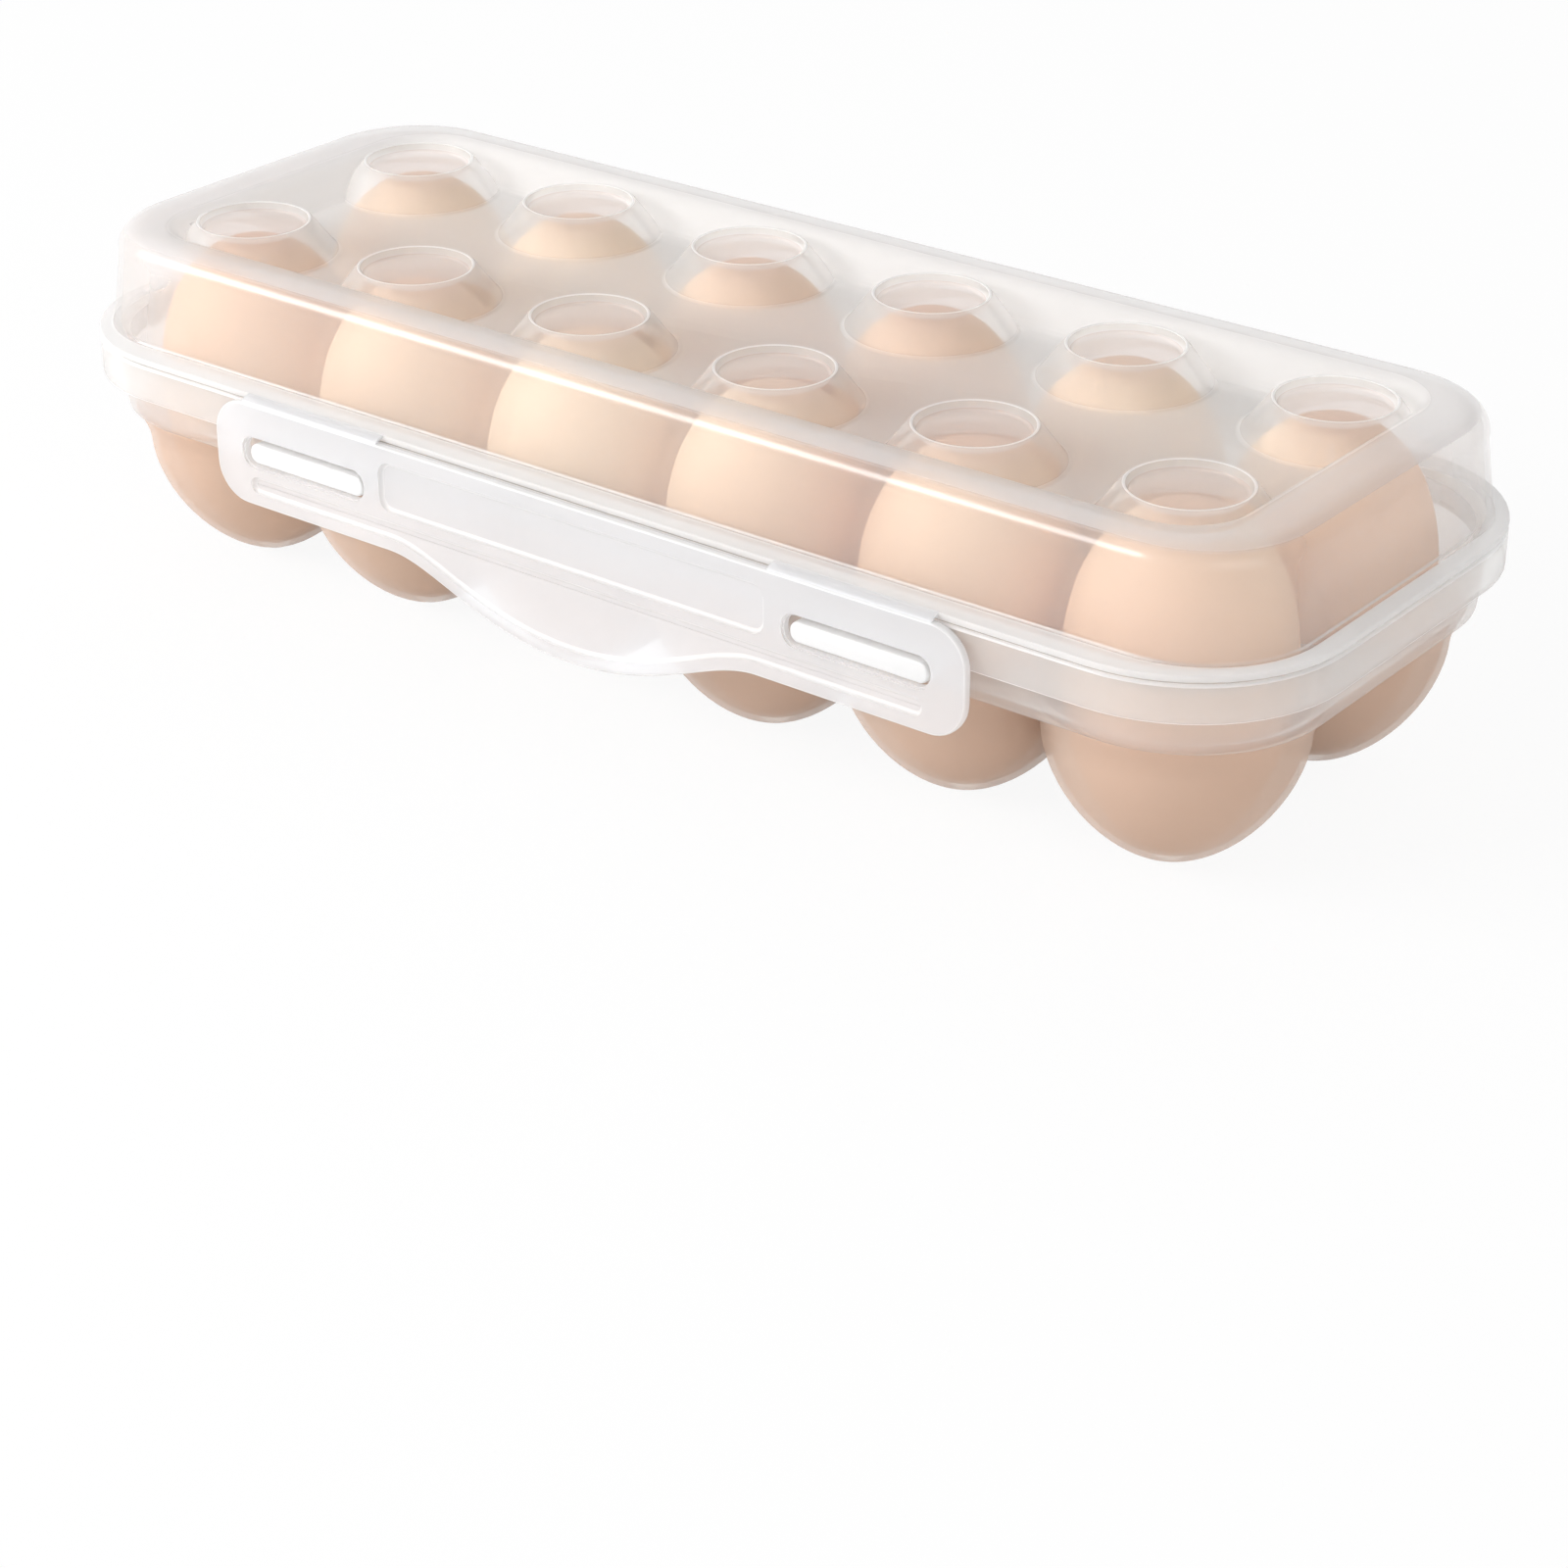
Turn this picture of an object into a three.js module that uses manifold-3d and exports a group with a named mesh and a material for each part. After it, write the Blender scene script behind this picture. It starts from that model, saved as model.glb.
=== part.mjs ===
import * as THREE from 'three';
import { mergeVertices } from 'three/addons/utils/BufferGeometryUtils.js';
import Module from 'manifold-3d';

// Egg storage box: a moulded tray with two rows of egg cups, a lid that opens on two snap hinges at the
// rear, and a latch on the lid's front edge whose slots go over two catch bars of the tray.
// Millimetres, +Z up, the length along X, the front at -Y. Heights are measured above the cups' feet.

const columns = 6;
const rowSides = [-1, 1];
const columnPitch = 47;
const rowPitch = 51.8;
const rimReach = 34;
const rimCorner = 33;
const wall = 1.2;
const rimHeight = 52;
const seatGap = 0.3;
const runningGap = 0.4;
const overrun = 3;

const cornerSteps = 6;
const cupSegments = 16;
const bossSegments = 16;
const eggSegments = 12;
const eggRows = 7;

const cup = {
  radius: 25.3,
  bowlHeight: 27.5,
  fullness: 1.7,
  footRadius: 5,
  flareRadius: 28,
  bowlShares: [0.06, 0.24, 0.52, 1],
  flareShares: [[0.35, 0.5], [1, 1]],
};

const tray = {
  flange: 1.3,
  edgeRound: 0.6,
  skirtHeight: 7.9,
  wallInsetX: 3.1,
  wallInsetY: 4.3,
  wallDraft: 0.9,
  wallCorner: 29,
  deckDrop: 16.8,
};

const lid = {
  flange: 1.5,
  edgeRound: 0.4,
  ribDepth: 4.7,
  ribGap: 0.5,
  footInsetX: 4,
  footInsetY: 5.7,
  footCorner: 24.5,
  draft: 1.5,
  eggHeadroom: 0.7,
  shoulderRound: 6,
  shoulderCorner: 19,
  crestReachX: 15,
  crestReachY: 17.5,
  crestCorner: 13.4,
  crestDrop: 0.2,
  valleyDepth: 7.4,
  valleyRun: 7,
  valleyOffset: 0.5,
};

const boss = {
  baseRadius: 17.9,
  fillet: 0.8,
  ringOuter: 12.3,
  ringRound: 0.5,
  ringInner: 11,
  dishRadius: 10.4,
  dishDepth: 2,
};

const latch = {
  halfLength: 95,
  thickness: 1.8,
  standOff: 0.7,
  bottomDrop: 22.2,
  tabDrop: 33.3,
  tabHalf: 47,
  tabCrownShare: 0.5,
  tabRootShare: 0.75,
  cornerRadius: 8,
  axisShare: 0.33,
  topGap: 0.3,
  webHalfStart: 49.5,
  webEndInset: 8,
  webRadius: 0.9,
  slotStart: 53.5,
  slotEndInset: 8,
  slotTopDrop: 7.1,
  slotHeight: 6.3,
  slotCorner: 2.9,
  recess: 0.5,
  border: 2.8,
  panelHalf: 49,
  panelTopDrop: 3,
  panelHeight: 10.6,
  panelCorner: 3,
  skirtPanelDrop: 15.6,
  skirtPanelEndInset: 9.5,
};

const catchBar = {
  endGap: 3.3,
  lowGap: 0.4,
  skirtGap: 0.5,
  faceInset: 0.8,
  rampDepth: 1.3,
  rampHeight: 2.6,
};

const hinge = {
  offset: 75,
  clipWidth: 18,
  clipOuter: 3.1,
  pinRadius: 1.5,
  skirtGap: 0.5,
  axisDrop: 1.5,
  earThickness: 3,
  earRadius: 2.6,
  earHeight: 6,
  mouthShare: 0.7,
};

const egg = {
  cupGap: 2.2,
  height: 70,
  lowShare: 0.5,
  lowFullness: 1.9,
  highFullness: 1.8,
};

const cupSpanX = (columns - 1) * columnPitch / 2;
const cupSpanY = (rowSides.length - 1) * rowPitch / 2;
const rimHalf = { x: cupSpanX + rimReach, y: cupSpanY + rimReach };
const deckBottom = rimHeight - tray.deckDrop;
const deckTop = deckBottom + wall;
const skirtBottom = rimHeight - tray.skirtHeight;
const lidBottom = rimHeight + seatGap;
const flangeTop = lidBottom + lid.flange;
const eggBottom = wall + seatGap;
const crestTop = eggBottom + egg.height + lid.eggHeadroom + wall + boss.dishDepth;
const shoulderTop = crestTop + lid.crestDrop;
const valleyFloor = crestTop - lid.valleyDepth;
const latchTop = lidBottom + lid.flange / 2 - latch.webRadius - latch.topGap;
const latchBack = rimHalf.y + latch.standOff;
const latchFace = latchBack + latch.thickness;
const slotTop = lidBottom - latch.slotTopDrop;
const slotBottom = slotTop - latch.slotHeight;
const slotEnd = latch.halfLength - latch.slotEndInset;
const webEnd = latch.halfLength - latch.webEndInset;
const latchAxis = { y: -(latchBack + latch.thickness * latch.axisShare), z: lidBottom + lid.flange / 2 };
const hingeAxis = {
  y: rimHalf.y + hinge.clipOuter + hinge.skirtGap,
  z: rimHeight - hinge.axisDrop,
};
const frontReach = latchFace;
const rearReach = hingeAxis.y + hinge.clipOuter;

const wasm = await Module();
wasm.setup();

function signedVolume(position, index) {
  const corner = [new THREE.Vector3(), new THREE.Vector3(), new THREE.Vector3()];
  let total = 0;
  for (let i = 0; i < index.length; i += 3) {
    corner.forEach((v, k) => v.fromBufferAttribute(position, index[i + k]));
    total += corner[0].dot(corner[1].clone().cross(corner[2])) / 6;
  }
  return total;
}

// Merges the shared vertices, drops empty triangles and turns the faces outwards.
function toSolid(geometry) {
  const bare = geometry.clone();
  bare.deleteAttribute('normal');
  bare.deleteAttribute('uv');
  const merged = mergeVertices(bare);
  const source = merged.index.array;
  const kept = [];
  for (let i = 0; i < source.length; i += 3) {
    const [a, b, c] = [source[i], source[i + 1], source[i + 2]];
    if (a !== b && b !== c && c !== a) {
      kept.push(a, b, c);
    }
  }
  const outward = signedVolume(merged.attributes.position, kept) > 0;
  const triVerts = Uint32Array.from(outward ? kept : kept.reverse());
  const vertProperties = Float32Array.from(merged.attributes.position.array);
  return new wasm.Manifold(new wasm.Mesh({ numProp: 3, vertProperties, triVerts }));
}

function toGeometry(solid) {
  const { vertProperties, triVerts } = solid.getMesh();
  const geometry = new THREE.BufferGeometry();
  geometry.setAttribute('position', new THREE.BufferAttribute(Float32Array.from(vertProperties), 3));
  geometry.setIndex(new THREE.BufferAttribute(Uint32Array.from(triVerts), 1));
  return geometry;
}

function joinAll(solids) {
  return solids.reduce((sum, item) => sum.add(item));
}

// One level outline: a rectangle with round corners, anticlockwise.
function ring(halfX, halfY, corner, z) {
  const points = [];
  for (let quarter = 0; quarter < 4; quarter += 1) {
    const signX = quarter === 0 || quarter === 3 ? 1 : -1;
    const signY = quarter < 2 ? 1 : -1;
    for (let step = 0; step <= cornerSteps; step += 1) {
      const angle = (quarter + step / cornerSteps) * Math.PI / 2;
      const x = signX * (halfX - corner) + corner * Math.cos(angle);
      const y = signY * (halfY - corner) + corner * Math.sin(angle);
      points.push(new THREE.Vector3(x, y, z));
    }
  }
  return points;
}

// A closed body through level outlines with the same number of points.
function loft(rings) {
  const count = rings[0].length;
  const points = rings.flat();
  const index = [];
  for (let level = 0; level + 1 < rings.length; level += 1) {
    for (let i = 0; i < count; i += 1) {
      const a = level * count + i;
      const b = level * count + (i + 1) % count;
      index.push(a, b, b + count, a, b + count, a + count);
    }
  }
  const last = (rings.length - 1) * count;
  const centres = [rings[0], rings[rings.length - 1]].map((outline) => {
    const middle = new THREE.Vector3();
    outline.forEach((p) => middle.add(p));
    return middle.divideScalar(count);
  });
  points.push(...centres);
  for (let i = 0; i < count; i += 1) {
    const next = (i + 1) % count;
    index.push(next, i, points.length - 2);
    index.push(last + i, last + next, points.length - 1);
  }
  const geometry = new THREE.BufferGeometry().setFromPoints(points);
  geometry.setIndex(index);
  return toSolid(geometry);
}

function prism(halfX, halfY, corner, bottom, top) {
  return loft([ring(halfX, halfY, corner, bottom), ring(halfX, halfY, corner, top)]);
}

// A profile of [radius, height] points turned about the upright axis.
function revolve(profile, segments) {
  const outline = profile.map(([radius, height]) => new THREE.Vector2(radius, height));
  return toSolid(new THREE.LatheGeometry(outline, segments).rotateX(Math.PI / 2));
}

// A shape drawn in X and Z, given its thickness along Y and set with its front face at frontY.
function plate(shape, thickness, frontY, curveSegments) {
  const geometry = new THREE.ExtrudeGeometry(shape, {
    depth: thickness,
    bevelEnabled: false,
    curveSegments,
  });
  return toSolid(geometry.rotateX(Math.PI / 2).translate(0, frontY + thickness, 0));
}

// A shape drawn in Y and Z, extruded along X about a given middle.
function rail(shape, width, middleX, curveSegments) {
  const geometry = new THREE.ExtrudeGeometry(shape, {
    depth: width,
    bevelEnabled: false,
    curveSegments,
  });
  const turn = new THREE.Matrix4().makeBasis(
    new THREE.Vector3(0, 1, 0),
    new THREE.Vector3(0, 0, 1),
    new THREE.Vector3(1, 0, 0),
  );
  return toSolid(geometry.applyMatrix4(turn).translate(middleX - width / 2, 0, 0));
}

function box(lowX, highX, lowY, highY, lowZ, highZ) {
  const geometry = new THREE.BoxGeometry(highX - lowX, highY - lowY, highZ - lowZ);
  geometry.translate((lowX + highX) / 2, (lowY + highY) / 2, (lowZ + highZ) / 2);
  return toSolid(geometry);
}

function roundedShape(lowX, highX, lowZ, highZ, radius) {
  const shape = new THREE.Shape();
  shape.moveTo(lowX + radius, lowZ);
  shape.lineTo(highX - radius, lowZ);
  shape.absarc(highX - radius, lowZ + radius, radius, -Math.PI / 2, 0, false);
  shape.lineTo(highX, highZ - radius);
  shape.absarc(highX - radius, highZ - radius, radius, 0, Math.PI / 2, false);
  shape.lineTo(lowX + radius, highZ);
  shape.absarc(lowX + radius, highZ - radius, radius, Math.PI / 2, Math.PI, false);
  shape.lineTo(lowX, lowZ + radius);
  shape.absarc(lowX + radius, lowZ + radius, radius, Math.PI, 1.5 * Math.PI, false);
  return shape;
}

function cupCentres() {
  const centres = [];
  for (const side of rowSides) {
    for (let column = 0; column < columns; column += 1) {
      const x = column * columnPitch - cupSpanX;
      centres.push({ x, y: side * cupSpanY, row: side < 0 ? 'front' : 'rear', column: column + 1 });
    }
  }
  return centres;
}

// The cup's half section, offset inwards by skin: an egg-shaped bowl on a flat foot with a flared mouth.
function cupProfile(skin, top) {
  const radius = cup.radius - skin;
  const rise = cup.bowlHeight - skin;
  const profile = [[0, skin], [cup.footRadius, skin]];
  for (const share of cup.bowlShares) {
    const reach = (1 - (1 - share) ** cup.fullness) ** (1 / cup.fullness);
    profile.push([radius * reach, skin + rise * share]);
  }
  const flare = cup.flareRadius - cup.radius;
  for (const [out, up] of cup.flareShares) {
    profile.push([radius + flare * out, skin + rise + (deckBottom - cup.bowlHeight) * up]);
  }
  const mouth = profile[profile.length - 1][0];
  profile.push([mouth, top], [0, top]);
  return profile;
}

// The tray: flange with a turned-down skirt, drafted side wall, deck and hanging cups, and the hinge ears.
function makeTray() {
  const { x, y } = rimHalf;
  const wallTop = { x: x - tray.wallInsetX, y: y - tray.wallInsetY };
  const wallFoot = { x: wallTop.x - tray.wallDraft, y: wallTop.y - tray.wallDraft };
  const edge = tray.edgeRound;
  const skirt = loft([
    ring(x, y, rimCorner, skirtBottom),
    ring(x, y, rimCorner, rimHeight - edge),
    ring(x - edge, y - edge, rimCorner - edge, rimHeight),
  ]);
  const skirtInside = prism(x - tray.flange, y - tray.flange, rimCorner - tray.flange,
    skirtBottom - overrun, rimHeight - tray.flange);
  const sideWall = loft([
    ring(wallFoot.x - edge, wallFoot.y - edge, tray.wallCorner - edge, deckBottom),
    ring(wallFoot.x, wallFoot.y, tray.wallCorner, deckBottom + edge),
    ring(wallTop.x, wallTop.y, tray.wallCorner, rimHeight - tray.flange / 2),
  ]);
  const inside = loft([
    ring(wallFoot.x - wall, wallFoot.y - wall, tray.wallCorner - wall, deckTop),
    ring(wallTop.x - wall, wallTop.y - wall, tray.wallCorner - wall, rimHeight),
    ring(wallTop.x - wall, wallTop.y - wall, tray.wallCorner - wall, rimHeight + overrun),
  ]);
  const cupBody = revolve(cupProfile(0, deckBottom + wall / 2), cupSegments);
  const cupInside = revolve(cupProfile(wall, deckTop + overrun), cupSegments);
  const bodies = cupCentres().map((c) => cupBody.translate([c.x, c.y, 0]));
  const hollows = cupCentres().map((c) => cupInside.translate([c.x, c.y, 0]));
  const shell = skirt.subtract(skirtInside).add(sideWall);
  const ears = [-1, 1].map((side) => makeHingeEars(side));
  return joinAll([shell, ...bodies]).subtract(joinAll([inside, ...hollows])).add(joinAll(ears));
}

// A bar against the tray's wall, under the skirt, that the latch's slot snaps over. Its underside slopes up
// to the front, so that a hard pull on the lid pushes the latch off it.
function makeCatchBar(side) {
  const start = latch.slotStart + catchBar.endGap;
  const end = slotEnd - catchBar.endGap;
  const front = -(latchFace - catchBar.faceInset);
  const root = -(rimHalf.y - tray.wallInsetY + seatGap);
  const low = slotBottom + catchBar.lowGap;
  const high = skirtBottom - catchBar.skirtGap;
  const shape = new THREE.Shape();
  shape.moveTo(root, low);
  shape.lineTo(root, high);
  shape.lineTo(front, high);
  shape.lineTo(front, low + catchBar.rampHeight);
  shape.lineTo(front + catchBar.rampDepth, low);
  shape.closePath();
  return rail(shape, end - start, side * (start + end) / 2, 1);
}

// Two ears on the skirt with the moulded pin that the lid's clip snaps onto.
function makeHingeEars(side) {
  const root = rimHalf.y - tray.flange / 2;
  const shape = new THREE.Shape();
  shape.moveTo(root, rimHeight - tray.edgeRound);
  shape.lineTo(root, rimHeight - tray.edgeRound - hinge.earHeight);
  shape.lineTo(rimHalf.y, rimHeight - tray.edgeRound - hinge.earHeight);
  shape.absarc(hingeAxis.y, hingeAxis.z, hinge.earRadius, -Math.PI / 4, 0.75 * Math.PI, false);
  shape.closePath();
  const reach = (hinge.clipWidth + hinge.earThickness) / 2 + runningGap;
  const ears = [-1, 1].map((end) => (
    rail(shape, hinge.earThickness, side * hinge.offset + end * reach, 4)
  ));
  const pinShape = new THREE.Shape().absarc(hingeAxis.y, hingeAxis.z, hinge.pinRadius, 0, 2 * Math.PI);
  const pin = rail(pinShape, 2 * reach, side * hinge.offset, 6);
  return joinAll([...ears, pin]);
}

// The lid's outer levels, offset inwards by skin, from the wall's foot up to the crest and down the valley.
function lidLevels(skin) {
  const foot = {
    x: rimHalf.x - lid.footInsetX - skin,
    y: rimHalf.y - lid.footInsetY - skin,
  };
  const round = lid.shoulderRound;
  const edge = { x: foot.x - lid.draft, y: foot.y - lid.draft };
  const levels = [ring(foot.x, foot.y, lid.footCorner - skin, flangeTop)];
  const turns = 3;
  for (let step = 0; step <= turns; step += 1) {
    const angle = step / turns * Math.PI / 2;
    const inward = (round - skin) * (1 - Math.cos(angle));
    const corner = THREE.MathUtils.lerp(lid.footCorner - skin, lid.shoulderCorner, step / turns);
    const height = shoulderTop - round + (round - skin) * Math.sin(angle);
    levels.push(ring(edge.x - inward, edge.y - inward, corner, height));
  }
  const shift = skin > 0 ? lid.valleyOffset : 0;
  const crest = { x: cupSpanX + lid.crestReachX + shift, y: cupSpanY + lid.crestReachY + shift };
  const run = lid.valleyRun;
  levels.push(ring(crest.x, crest.y, lid.crestCorner, crestTop - skin));
  levels.push(ring(crest.x - run, crest.y - run, lid.crestCorner - run, valleyFloor - skin));
  return levels;
}

function bossProfile() {
  const top = crestTop;
  return [
    [0, valleyFloor - wall],
    [boss.baseRadius, valleyFloor - wall],
    [boss.baseRadius, valleyFloor],
    [boss.baseRadius - boss.fillet, valleyFloor + boss.fillet],
    [boss.ringOuter + boss.ringRound, top - boss.ringRound],
    [boss.ringOuter, top],
    [boss.ringInner, top],
    [boss.dishRadius, top - boss.dishDepth],
    [0, top - boss.dishDepth],
  ];
}

function bossHollowProfile() {
  const top = crestTop - boss.dishDepth - wall;
  const slope = (boss.baseRadius - boss.ringOuter) / lid.valleyDepth;
  const foot = boss.baseRadius - wall - boss.fillet / 2;
  const bottom = valleyFloor - wall;
  const reach = foot - slope * (top - bottom);
  return [
    [0, bottom - wall],
    [foot, bottom - wall],
    [foot, bottom],
    [reach, top],
    [0, top],
  ];
}

// The lid: flat flange, locating rib, drafted wall, rounded shoulder and a valley with a boss over each egg.
function makeLid() {
  const { x, y } = rimHalf;
  const edge = lid.edgeRound;
  const flange = loft([
    ring(x - edge, y - edge, rimCorner - edge, lidBottom),
    ring(x, y, rimCorner, lidBottom + edge),
    ring(x, y, rimCorner, flangeTop - edge),
    ring(x - edge, y - edge, rimCorner - edge, flangeTop),
  ]);
  const ribX = x - tray.wallInsetX - wall - lid.ribGap;
  const ribY = y - tray.wallInsetY - wall - lid.ribGap;
  const ribCorner = tray.wallCorner - wall - lid.ribGap;
  const ribBottom = lidBottom - lid.ribDepth;
  const rib = prism(ribX, ribY, ribCorner, ribBottom, lidBottom + edge);
  const shell = loft(lidLevels(0));
  const throat = [
    ring(ribX - wall, ribY - wall, ribCorner - wall, ribBottom - overrun),
    ring(ribX - wall, ribY - wall, ribCorner - wall, lidBottom),
  ];
  const inside = loft([...throat, ...lidLevels(wall)]);
  const bossBody = revolve(bossProfile(), bossSegments);
  const bossInside = revolve(bossHollowProfile(), bossSegments);
  const bosses = cupCentres().map((c) => bossBody.translate([c.x, c.y, 0]));
  const hollows = cupCentres().map((c) => bossInside.translate([c.x, c.y, 0]));
  const clips = [-1, 1].map((side) => makeHingeClip(side));
  return joinAll([flange, rib, shell, ...bosses])
    .subtract(joinAll([inside, ...hollows]))
    .add(joinAll(clips));
}

// A strap from the flange ending in an open ring that snaps over the tray's pin from above.
function makeHingeClip(side) {
  const middle = side * hinge.offset;
  const bore = hinge.pinRadius + seatGap;
  const mouth = Math.asin(hinge.mouthShare);
  const low = -Math.PI / 2;
  const shape = new THREE.Shape();
  shape.absarc(hingeAxis.y, hingeAxis.z, hinge.clipOuter, low + mouth / 2, low - mouth / 2 + 2 * Math.PI);
  shape.absarc(hingeAxis.y, hingeAxis.z, bore, low - mouth / 2 + 2 * Math.PI, low + mouth / 2, true);
  shape.closePath();
  const clip = rail(shape, hinge.clipWidth, middle, 10);
  const inner = rimHalf.y - lid.flange;
  const strapTop = Math.min(flangeTop, hingeAxis.z + hinge.clipOuter);
  const strap = box(middle - hinge.clipWidth / 2, middle + hinge.clipWidth / 2, inner, hingeAxis.y,
    Math.max(lidBottom, hingeAxis.z + bore), strapTop);
  return clip.add(strap);
}

// The latch's outline, drawn inwards at its ends and below: round ends and a finger tab in the middle.
function latchShape(endInset, inset, top) {
  const half = latch.halfLength - endInset;
  const bottom = lidBottom - latch.bottomDrop + inset;
  const tab = lidBottom - latch.tabDrop + inset;
  const radius = Math.min(latch.cornerRadius - inset / 2, (top - bottom) / 2);
  const crown = latch.tabHalf * latch.tabCrownShare;
  const root = latch.tabHalf * latch.tabRootShare;
  const shape = new THREE.Shape();
  shape.moveTo(0, tab);
  shape.bezierCurveTo(crown, tab, root, bottom, latch.tabHalf, bottom);
  shape.lineTo(half - radius, bottom);
  shape.absarc(half - radius, bottom + radius, radius, -Math.PI / 2, 0, false);
  shape.lineTo(half, top - radius);
  shape.absarc(half - radius, top - radius, radius, 0, Math.PI / 2, false);
  shape.lineTo(-half + radius, top);
  shape.absarc(-half + radius, top - radius, radius, Math.PI / 2, Math.PI, false);
  shape.lineTo(-half, bottom + radius);
  shape.absarc(-half + radius, bottom + radius, radius, Math.PI, 1.5 * Math.PI, false);
  shape.lineTo(-latch.tabHalf, bottom);
  shape.bezierCurveTo(-root, bottom, -crown, tab, 0, tab);
  return shape;
}

// The latch: a plate with two slots for the catch bars and two shallow recessed panels.
function makeLatch() {
  const body = plate(latchShape(0, 0, latchTop), latch.thickness, -latchFace, 6);
  const slots = [-1, 1].map((side) => {
    const low = Math.min(side * latch.slotStart, side * slotEnd);
    const high = Math.max(side * latch.slotStart, side * slotEnd);
    const shape = roundedShape(low, high, slotBottom, slotTop, latch.slotCorner);
    return plate(shape, latch.thickness + 2 * overrun, -latchFace - overrun, 4);
  });
  const panelTop = lidBottom - latch.panelTopDrop;
  const panel = roundedShape(-latch.panelHalf, latch.panelHalf, panelTop - latch.panelHeight, panelTop,
    latch.panelCorner);
  const skirtPanelTop = lidBottom - latch.skirtPanelDrop;
  const skirtPanel = latchShape(latch.skirtPanelEndInset, latch.border, skirtPanelTop);
  const recesses = [panel, skirtPanel].map((shape) => (
    plate(shape, latch.recess + overrun, -latchFace - overrun, 4)
  ));
  return body.subtract(joinAll([...slots, ...recesses]));
}

// One of the two thin hinge webs between the lid's flange and the latch, seen as a bead along the edge.
function makeLatchWeb(side) {
  const shape = new THREE.Shape().absarc(latchAxis.y, latchAxis.z, latch.webRadius, 0, 2 * Math.PI);
  const width = webEnd - latch.webHalfStart;
  const middle = side * (webEnd + latch.webHalfStart) / 2;
  return rail(shape, width, middle, 5);
}

// An egg with its blunt end up, standing on the floor of its cup.
function makeEgg() {
  const radius = cup.radius - wall - egg.cupGap;
  const low = egg.height * egg.lowShare;
  const high = egg.height - low;
  const profile = [];
  for (let step = 0; step <= eggRows; step += 1) {
    const turn = Math.cos(step / eggRows * Math.PI);
    const rise = Math.sign(-turn) * Math.abs(turn) * (turn > 0 ? low : high);
    const fullness = turn > 0 ? egg.lowFullness : egg.highFullness;
    const share = (1 - Math.abs(turn) ** fullness) ** (1 / fullness);
    const onAxis = step === 0 || step === eggRows;
    profile.push([onAxis ? 0 : radius * share, eggBottom + low + rise]);
  }
  return revolve(profile, eggSegments);
}

const plastic = { roughness: 0.45, metalness: 0, transparent: true };
const materials = {
  tray: new THREE.MeshStandardMaterial({ ...plastic, color: 0xe9e4e0, opacity: 0.5 }),
  lid: new THREE.MeshStandardMaterial({ ...plastic, color: 0xf1efec, opacity: 0.4 }),
  latch: new THREE.MeshStandardMaterial({ ...plastic, color: 0xf4f4f3, opacity: 0.6 }),
  web: new THREE.MeshStandardMaterial({ ...plastic, color: 0xf6f6f6, opacity: 0.6 }),
  egg: new THREE.MeshStandardMaterial({ color: 0xe3b591, roughness: 0.75, metalness: 0 }),
};

const model = new THREE.Group();
model.position.y = (frontReach - rearReach) / 2;

function addPiece(name, solid, material) {
  const mesh = new THREE.Mesh(toGeometry(solid), material);
  mesh.name = name;
  model.add(mesh);
  return mesh;
}

addPiece('tray', makeTray(), materials.tray);
addPiece('catch_bar_left', makeCatchBar(-1), materials.tray);
addPiece('catch_bar_right', makeCatchBar(1), materials.tray);
addPiece('lid', makeLid(), materials.lid);
addPiece('latch', makeLatch(), materials.latch);
addPiece('latch_web_left', makeLatchWeb(-1), materials.web);
addPiece('latch_web_right', makeLatchWeb(1), materials.web);
const eggSolid = makeEgg();
for (const centre of cupCentres()) {
  const mesh = addPiece(`egg_${centre.row}_${centre.column}`, eggSolid, materials.egg);
  mesh.position.set(centre.x, centre.y, 0);
}

export default model;
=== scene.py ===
import bpy
import bmesh
from math import cos, pi, radians, sin, sqrt
from mathutils import Matrix, Vector


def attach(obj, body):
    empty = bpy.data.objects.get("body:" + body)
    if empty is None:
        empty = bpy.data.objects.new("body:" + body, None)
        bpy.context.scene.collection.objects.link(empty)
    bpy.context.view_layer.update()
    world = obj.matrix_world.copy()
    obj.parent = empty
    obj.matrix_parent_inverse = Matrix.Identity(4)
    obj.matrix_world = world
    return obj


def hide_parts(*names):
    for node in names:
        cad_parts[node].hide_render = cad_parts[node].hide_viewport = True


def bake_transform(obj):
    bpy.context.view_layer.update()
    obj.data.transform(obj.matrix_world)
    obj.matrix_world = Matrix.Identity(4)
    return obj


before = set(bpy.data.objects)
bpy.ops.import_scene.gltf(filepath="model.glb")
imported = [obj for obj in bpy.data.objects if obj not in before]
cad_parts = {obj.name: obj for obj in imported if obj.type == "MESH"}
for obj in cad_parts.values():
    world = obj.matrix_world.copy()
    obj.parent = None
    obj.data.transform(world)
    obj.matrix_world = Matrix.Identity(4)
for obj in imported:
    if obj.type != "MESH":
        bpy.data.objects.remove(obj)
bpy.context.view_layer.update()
print("frame loaded")

# Sizes are in millimetres as on the drawing: x along the length, the front at -y, heights from the
# cups' feet. finishPiece() turns them into metres and puts them where the frame has them.
case = {
    "columns": 6, "columnPitch": 47.0, "rowPitch": 51.8,
    "rimX": 151.5, "rimY": 59.9, "rimCorner": 33.0,
    "wall": 1.2, "rimHeight": 52.0, "lidBottom": 52.3, "flangeTop": 53.8, "crestTop": 75.4,
    "rowShift": -2.1,
}

# How far a body that cuts reaches past what it cuts.
cutter = {"loftPast": 3.0, "platePast": 2.0}

# Shares of a rounded edge's width, for the points drawn along it.
roundShare = {"small": 0.13, "middle": 0.3, "half": 0.5}

endCupX = (case["columns"] - 1) * case["columnPitch"] / 2
rowY = case["rowPitch"] / 2


def cupCentres():
    return [(column * case["columnPitch"] - endCupX, side * rowY)
            for side in (-1, 1) for column in range(case["columns"])]


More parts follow.
